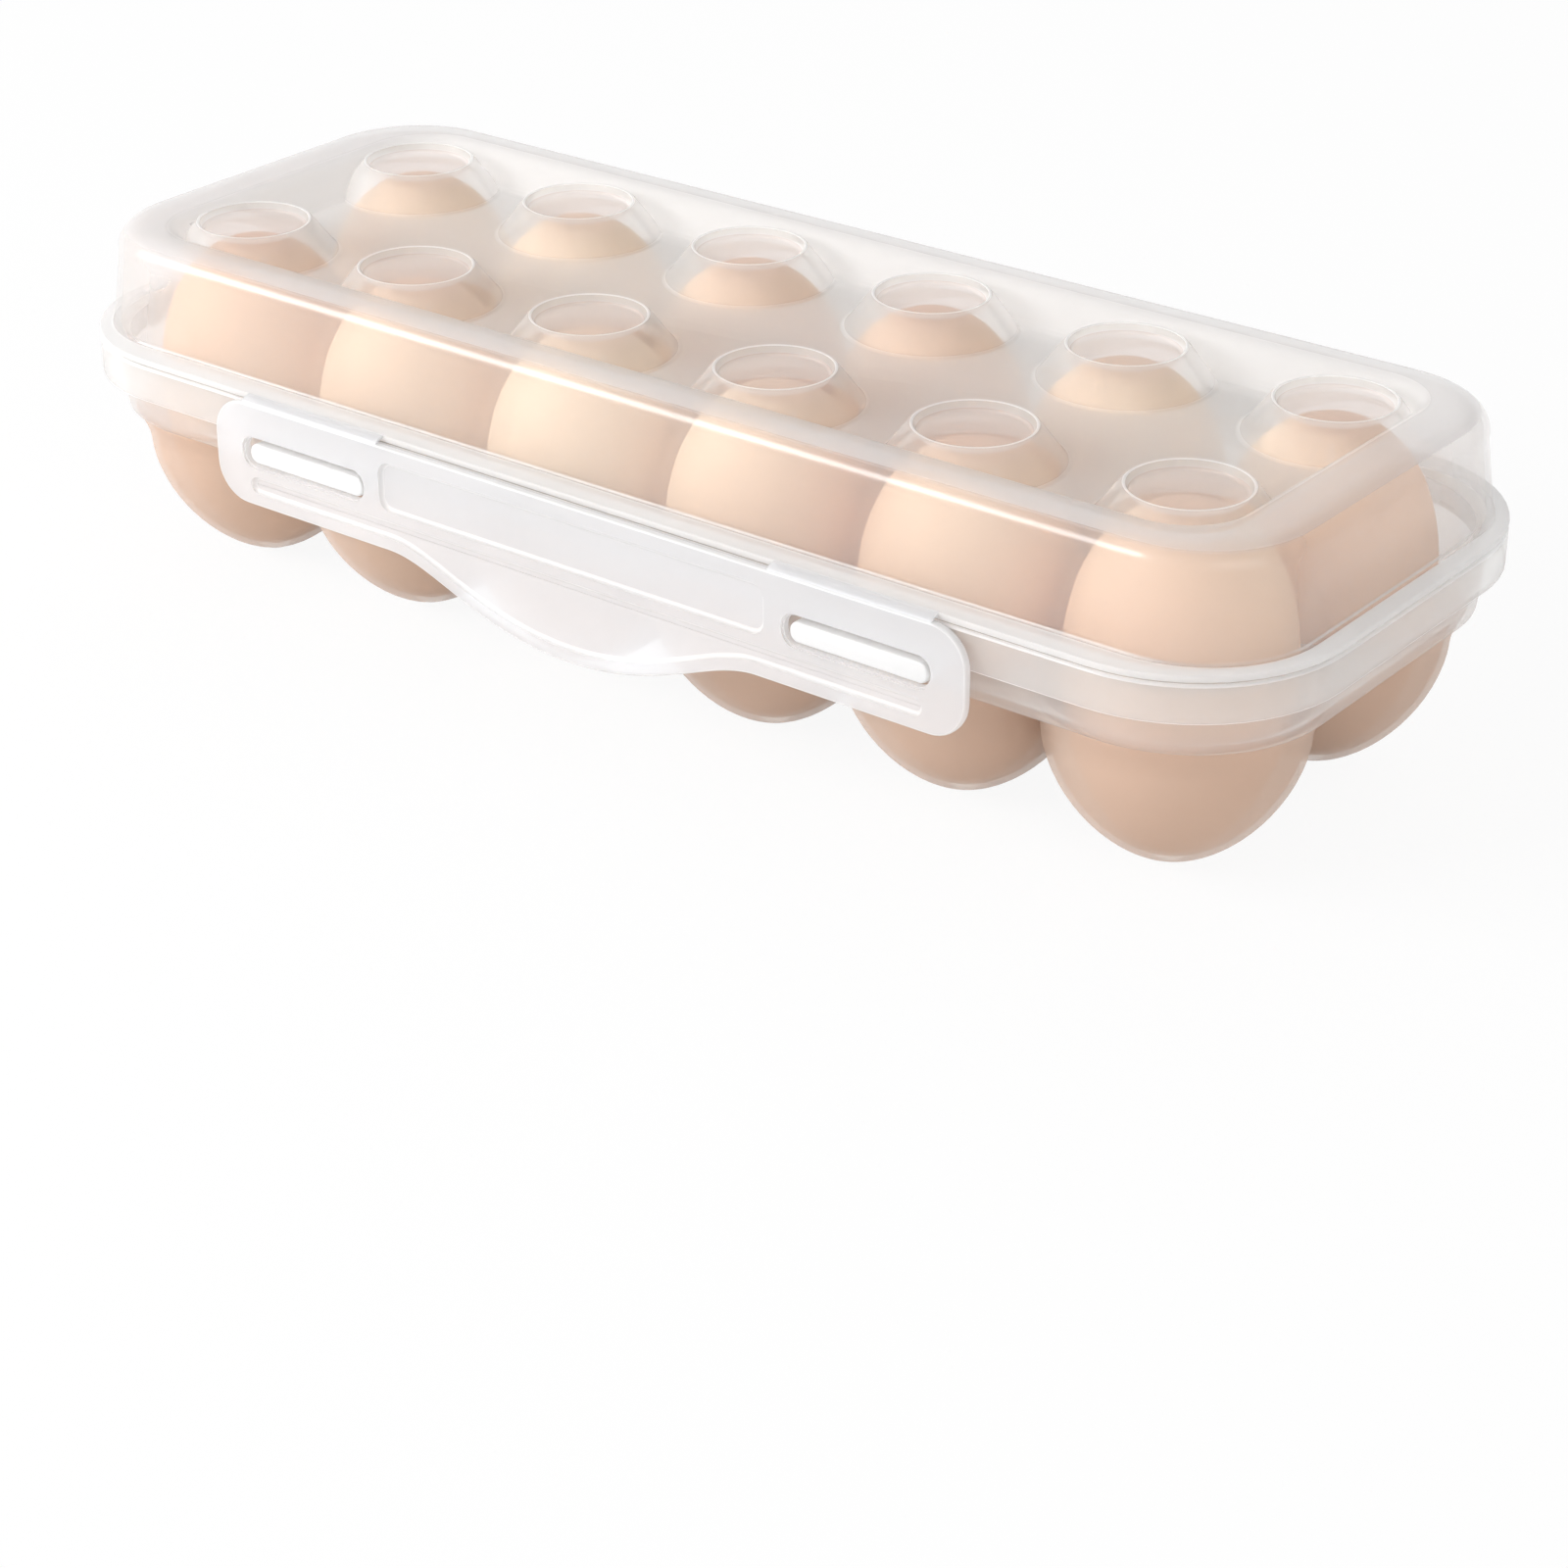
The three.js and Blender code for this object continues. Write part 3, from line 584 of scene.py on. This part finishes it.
def lidMesh():
    x, y, corner, edge = case["rimX"], case["rimY"], case["rimCorner"], lid["flangeEdge"]
    low, high, wall = case["lidBottom"], case["flangeTop"], case["wall"]
    outline, share = (x, y, corner), roundShare["middle"]
    flange = loftSolid([
        level(outline, edge, low),
        level(outline, edge * share, low + edge * share),
        level(outline, 0, low + edge),
        level(outline, 0, high - edge),
        level(outline, edge * share, high - edge * share),
        level(outline, edge, high),
    ])
    walls = (x - tray["wallInsetX"], y - tray["wallInsetY"], tray["wallCorner"])
    outline = [size - wall - lid["ribGap"] for size in walls]
    ribBottom, ribEdge = low - lid["ribDepth"], lid["ribEdge"]
    rib = loftSolid([
        level(outline, ribEdge, ribBottom),
        level(outline, 0, ribBottom + ribEdge),
        level(outline, 0, low + edge),
    ])
    outside = loftSolid(lidLevels(0))
    throat = [level(outline, wall, ribBottom - cutter["loftPast"]), level(outline, wall, low)]
    inside = loftSolid(throat + lidLevels(wall))
    bossBody, bossInside = spunSolid(bossProfile()), spunSolid(bossHollowProfile())
    mesh = combined(flange, [rib, outside] + [moved(bossBody, cx, cy) for cx, cy in cupCentres()], "UNION")
    mesh = combined(mesh, [inside] + [moved(bossInside, cx, cy) for cx, cy in cupCentres()], "DIFFERENCE")
    return combined(mesh, hingeClips(), "UNION")


def hingeClips():
    clips = []
    for side in (-1, 1):
        middle, width = side * hinge["offset"], hinge["clipWidth"]
        ring = crossBar(middle, width, hinge["axisY"], hinge["axisZ"], hinge["clipOuter"], 40)
        bore = crossBar(middle, width + cutter["platePast"], hinge["axisY"], hinge["axisZ"],
                        hinge["clipBore"], 32)
        mouth = roundedBlock(middle - width, middle + width, hinge["axisY"] - hinge["mouth"],
                             hinge["axisY"] + hinge["mouth"], hinge["axisZ"] - hinge["mouthDepth"],
                             hinge["axisZ"], hinge["mouthEdge"], 1)
        ring = combined(ring, [bore, mouth], "DIFFERENCE")
        strap = roundedBlock(middle - width / 2, middle + width / 2, case["rimY"] - hinge["strapRoot"],
                             hinge["axisY"], hinge["strapLow"], hinge["strapHigh"], hinge["strapEdge"], 2)
        clips.append(combined(ring, [strap], "UNION"))
    return clips


lidPiece = finishPiece("lidShell", lidMesh(), lidPlastic, "lid", ("lid",))


def fromCrest(x, y):
    return depthInside(x, y, endCupX + lid["crestReachX"], rowY + lid["crestReachY"], lid["crestCorner"])


def fromCentre(x, y):
    return sqrt(min((x - cx) ** 2 + (y - cy) ** 2 for cx, cy in cupCentres()))


# How far each finish of the lid reaches past the form it belongs to.
lidZones = {
    "crestBelow": 3.5, "crestLevel": 0.8, "valleyBelow": 1.5, "valleyOut": 0.5, "coneAbove": 0.4,
    "coneOut": 0.35, "coneLean": 0.757, "dishBelow": 4.0, "dishOut": 0.2, "flangeSlack": 0.1,
    "ringBelow": 0.15,
}


def onCrest(x, y, z, normal):
    return z > case["crestTop"] - lidZones["crestBelow"] and abs(normal.z) > lidZones["crestLevel"]


def inValley(x, y, z, normal):
    return z > lid["valleyFloor"] - lidZones["valleyBelow"] and fromCrest(x, y) > -lidZones["valleyOut"]


def onCone(x, y, z, normal):
    reach = boss["base"] + lidZones["coneOut"] - lidZones["coneLean"] * (z - lid["valleyFloor"])
    return z > lid["valleyFloor"] + lidZones["coneAbove"] and fromCentre(x, y) < reach


def inDish(x, y, z, normal):
    reach = boss["dish"] + lidZones["dishOut"]
    return z > case["crestTop"] - lidZones["dishBelow"] and fromCentre(x, y) < reach


def onFlange(x, y, z, normal):
    slack = lidZones["flangeSlack"]
    return case["lidBottom"] - slack < z < case["flangeTop"] + slack


def onRing(x, y, z, normal):
    within = boss["ringInner"] < fromCentre(x, y) < boss["ringOuter"]
    return z > case["crestTop"] - lidZones["ringBelow"] and within


# The lid's crest, valley floor and dishes take painted shade, its cones a clearer plastic, and its flange and
# ring tops painted highlight lines.
for material, picks in ((crestShadePlastic, onCrest), (topShadePlastic, inValley), (conePlastic, onCone),
                        (dishShadePlastic, inDish), (edgeHighlightPlastic, onFlange), (edgeHighlightPlastic, onRing)):
    refinish(lidPiece, material, picks)

# Latch

latch = {
    "half": 95.0, "thickness": 1.8, "face": 62.4, "bottom": 30.1, "top": 52.6, "corner": 8.0, "edge": 0.45,
    "tab": 19.0, "tabHalf": 47.0, "tabSwell": 0.75, "tabPinch": 0.5, "slotStart": 53.5, "slotEnd": 87.0,
    "slotLow": 38.9, "slotHigh": 45.2, "slotCorner": 2.9, "slotBevel": 0.45, "panelHalf": 49.0,
    "panelLow": 38.7, "panelHigh": 49.3, "panelCorner": 3.0, "recess": 0.9, "slope": 0.8, "border": 2.8,
    "skirtPanelTop": 36.7, "skirtPanelHalf": 85.5, "skirtPanelCorner": 1.89, "lineDeep": 0.5,
    "lineTilt": 0.97,
}


# The outline of the latch as a face in x and z, its lower edge drawn in by inset, its corners rounded.
def latchFace(bm, half, inset, top, corner, tabSteps=28):
    bottom, tab = latch["bottom"] + inset, latch["tab"] + inset
    reach = latch["tabHalf"]
    points = []
    for step in range(tabSteps + 1):
        t = step / tabSteps
        a, b = 1 - t, t
        x = reach * (a ** 3 + 3 * a * a * b * latch["tabSwell"] + 3 * a * b * b * latch["tabPinch"])
        z = bottom * (a ** 3 + 3 * a * a * b) + tab * (3 * a * b * b + b ** 3)
        points.append((x, z))
    outline = [(-x, z) for x, z in points[:-1]] + [(x, z) for x, z in reversed(points)]
    sharp = [bm.verts.new((sx * half, 0, z)) for sx, z in ((1, bottom), (1, top), (-1, top), (-1, bottom))]
    face = bm.faces.new([bm.verts.new((x, 0, z)) for x, z in outline] + sharp)
    bmesh.ops.bevel(bm, geom=sharp, offset=corner, offset_type="OFFSET", segments=10, profile=0.5,
                    affect="VERTICES", clamp_overlap=False, material=-1)
    return face


def latchMesh():
    back, face, deep = latch["face"] - latch["thickness"], latch["face"], latch["recess"]
    slope, bevel, past = latch["slope"], latch["slotBevel"], cutter["platePast"]
    low, high, corner = latch["slotLow"], latch["slotHigh"], latch["slotCorner"]
    body = plateSolid(lambda bm: latchFace(bm, latch["half"], 0, latch["top"], latch["corner"]), back, face,
                      latch["edge"])
    cuts = []
    for side in (-1, 1):
        ends = sorted((side * latch["slotStart"], side * latch["slotEnd"]))
        cuts.append(plateSolid(lambda bm: slotFace(bm, *ends, low, high, corner), back - past,
                               face + past, 0))
        cuts.append(plateSolid(lambda bm: slotFace(bm, ends[0] - bevel, ends[1] + bevel, low - bevel,
                                                   high + bevel, corner + bevel),
                               face - bevel, face + past, 0))
    cuts.append(plateSolid(lambda bm: slotFace(bm, -latch["panelHalf"], latch["panelHalf"], latch["panelLow"],
                                               latch["panelHigh"], latch["panelCorner"]),
                           face - deep, face + past, slope))
    cuts.append(plateSolid(lambda bm: latchFace(bm, latch["skirtPanelHalf"], latch["border"],
                                                latch["skirtPanelTop"], latch["skirtPanelCorner"]),
                           face - deep, face + past, slope))
    return combined(body, cuts, "DIFFERENCE")


latchPiece = finishPiece("latchPlate", latchMesh(), latchPlastic, "latch", ("latch",))
lineY = latch["lineDeep"] - latch["face"] + latch["recess"]
# The latch's rounded front edges and the side walls of its slots and recessed panels take the painted
# highlight lines.
refinish(latchPiece, edgeHighlightPlastic, lambda x, y, z, n: y < lineY and n.y > -latch["lineTilt"])

# The two thin hinge webs bend from the lid's flange down into the latch.

web = {
    "start": 49.5, "end": 87.0, "lipY": 59.3, "lipZ": 53.7, "turnY": 62.2, "turnZ": 53.75, "lowZ": 51.9,
    "lowY": 62.3, "thickness": 0.5, "steps": 8,
}


def webMesh(side):
    bm = bmesh.new()
    ends = sorted((side * web["start"], side * web["end"]))
    points = bend((web["lipY"], web["lipZ"]), (web["turnY"], web["turnZ"]), (web["lowY"], web["lowZ"]),
                  web["steps"])
    chain = [bm.verts.new((ends[0], -y, z)) for y, z in points]
    edges = [bm.edges.new(pair) for pair in zip(chain, chain[1:])]
    grown = bmesh.ops.extrude_edge_only(bm, edges=edges)
    bmesh.ops.translate(bm, vec=(ends[1] - ends[0], 0, 0),
                        verts=[v for v in grown["geom"] if isinstance(v, bmesh.types.BMVert)])
    bmesh.ops.recalc_face_normals(bm, faces=bm.faces)
    if sum(f.normal.z - f.normal.y for f in bm.faces) < 0:
        bmesh.ops.reverse_faces(bm, faces=bm.faces)
    bmesh.ops.solidify(bm, geom=bm.faces[:], thickness=web["thickness"])
    bmesh.ops.recalc_face_normals(bm, faces=bm.faces)
    return solid(bm)


for side, name in ((-1, "left"), (1, "right")):
    piece = finishPiece("latchWeb" + name.capitalize(), webMesh(side), latchPlastic, None,
                        ("latch_web_" + name,))
    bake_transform(piece)

# Eggs

egg = {
    "radius": 21.9, "height": 70.0, "bottom": 1.5, "lowShare": 0.54, "lowFull": 1.9, "highFull": 2.2,
    "around": 48, "rows": 36, "pole": 1e-6,
}


def eggMesh(x, y):
    bm = bmesh.new()
    bmesh.ops.create_uvsphere(bm, u_segments=egg["around"], v_segments=egg["rows"], radius=1)
    low = egg["height"] * egg["lowShare"]
    high = egg["height"] - low
    for v in bm.verts:
        turn = max(-1, min(1, v.co.z))
        full = egg["lowFull"] if turn < 0 else egg["highFull"]
        flat = sqrt(max(0, 1 - turn * turn))
        if flat > egg["pole"]:
            share = (1 - abs(turn) ** full) ** (1 / full)
            v.co.x, v.co.y = (c / flat * share * egg["radius"] for c in (v.co.x, v.co.y))
        v.co.z = egg["bottom"] + low + turn * (low if turn < 0 else high)
    bmesh.ops.translate(bm, verts=bm.verts, vec=(x, y, 0))
    return solid(bm)


for index, (x, y) in enumerate(cupCentres()):
    row, column = ("front", "rear")[index // case["columns"]], index % case["columns"] + 1
    finishPiece(f"egg{row.capitalize()}{column}", eggMesh(x, y), eggshellFinish, "tray",
                (f"egg_{row}_{column}",))
print("eggs made")

# Camera, fitted to the photograph.

cameraFit = {
    "azimuth": 37.67, "elevation": 27.75, "lens": 84.37, "sensor": 36, "nearest": 0.01,
    "place": (0.43125, -0.55334, 0.33424),
}


def setCamera():
    a, e = radians(cameraFit["azimuth"]), radians(cameraFit["elevation"])
    back = Vector((sin(a) * cos(e), -cos(a) * cos(e), sin(e)))
    right = Vector((cos(a), sin(a), 0))
    up = back.cross(right)
    data = bpy.data.cameras.new("camera")
    data.lens = cameraFit["lens"]
    data.sensor_width = cameraFit["sensor"]
    data.clip_start = cameraFit["nearest"]
    camera = bpy.data.objects.new("camera", data)
    turn = Matrix((right, up, back)).transposed().to_4x4()
    camera.matrix_world = Matrix.Translation(cameraFit["place"]) @ turn
    bpy.context.scene.collection.objects.link(camera)
    bpy.context.scene.camera = camera


setCamera()

# Studio

studio = {
    "world": 0.5, "floorWhite": 0.92, "floorRough": 0.9, "floorHalf": 3, "shadowShare": 0.08,
    "aim": (0, 0, 0.04),
}


# Mixes in the seen shader by its share where a ray comes from the camera or through the plastic.
def whiteWhenSeen(tree, plain, seen, share):
    nodes, links = tree.nodes, tree.links
    path = nodes.new("ShaderNodeLightPath")
    first, second, part = (nodes.new("ShaderNodeMath") for step in range(3))
    first.operation = second.operation = "MAXIMUM"
    part.operation = "MULTIPLY"
    part.inputs[1].default_value = share
    mix = nodes.new("ShaderNodeMixShader")
    links.new(path.outputs["Is Camera Ray"], first.inputs[0])
    links.new(path.outputs["Is Glossy Ray"], first.inputs[1])
    links.new(first.outputs[0], second.inputs[0])
    links.new(path.outputs["Is Transmission Ray"], second.inputs[1])
    links.new(second.outputs[0], part.inputs[0])
    links.new(part.outputs[0], mix.inputs[0])
    links.new(plain.outputs[0], mix.inputs[1])
    links.new(seen.outputs[0], mix.inputs[2])
    return mix


def setWorld():
    world = bpy.data.worlds.new("studio")
    bpy.context.scene.world = world
    world.use_nodes = True
    nodes, links = world.node_tree.nodes, world.node_tree.links
    plain = nodes["Background"]
    plain.inputs["Color"].default_value = (1, 1, 1, 1)
    plain.inputs["Strength"].default_value = studio["world"]
    seen = nodes.new("ShaderNodeBackground")
    seen.inputs["Color"].default_value = (1, 1, 1, 1)
    seen.inputs["Strength"].default_value = 1.0
    mix = whiteWhenSeen(world.node_tree, plain, seen, 1.0)
    links.new(mix.outputs[0], nodes["World Output"].inputs["Surface"])


def setFloor():
    bm = bmesh.new()
    bmesh.ops.create_grid(bm, x_segments=2, y_segments=2, size=studio["floorHalf"])
    floor = bpy.data.objects.new("floor", solid(bm))
    bpy.context.scene.collection.objects.link(floor)
    material = bpy.data.materials.new("paleFloor")
    material.use_nodes = True
    nodes, links = material.node_tree.nodes, material.node_tree.links
    plain = nodes["Principled BSDF"]
    plain.inputs["Base Color"].default_value = (studio["floorWhite"],) * 3 + (1,)
    plain.inputs["Roughness"].default_value = studio["floorRough"]
    seen = nodes.new("ShaderNodeEmission")
    seen.inputs["Color"].default_value = (1, 1, 1, 1)
    mix = whiteWhenSeen(material.node_tree, plain, seen, 1 - studio["shadowShare"])
    links.new(mix.outputs[0], nodes["Material Output"].inputs["Surface"])
    floor.data.materials.append(material)


lamps = {
    "key": {"place": (-0.78, -0.93, 0.62), "width": 1.1, "height": 0.35, "power": 16},
    "fill": {"place": (1.2, -0.5, 0.4), "width": 1.0, "height": 1.0, "power": 4},
    "back": {"place": (-0.3, 0.9, 1.0), "width": 0.9, "height": 0.9, "power": 2},
}


def setLamps():
    for name, lamp in lamps.items():
        data = bpy.data.lights.new(name, "AREA")
        data.shape = "RECTANGLE"
        data.size, data.size_y, data.energy = lamp["width"], lamp["height"], lamp["power"]
        light = bpy.data.objects.new(name, data)
        light.location = lamp["place"]
        aim = Vector(studio["aim"]) - light.location
        light.rotation_euler = aim.to_track_quat("-Z", "Y").to_euler()
        bpy.context.scene.collection.objects.link(light)


setWorld()
setFloor()
setLamps()
bpy.context.scene.view_settings.view_transform = "Standard"
print("studio made")
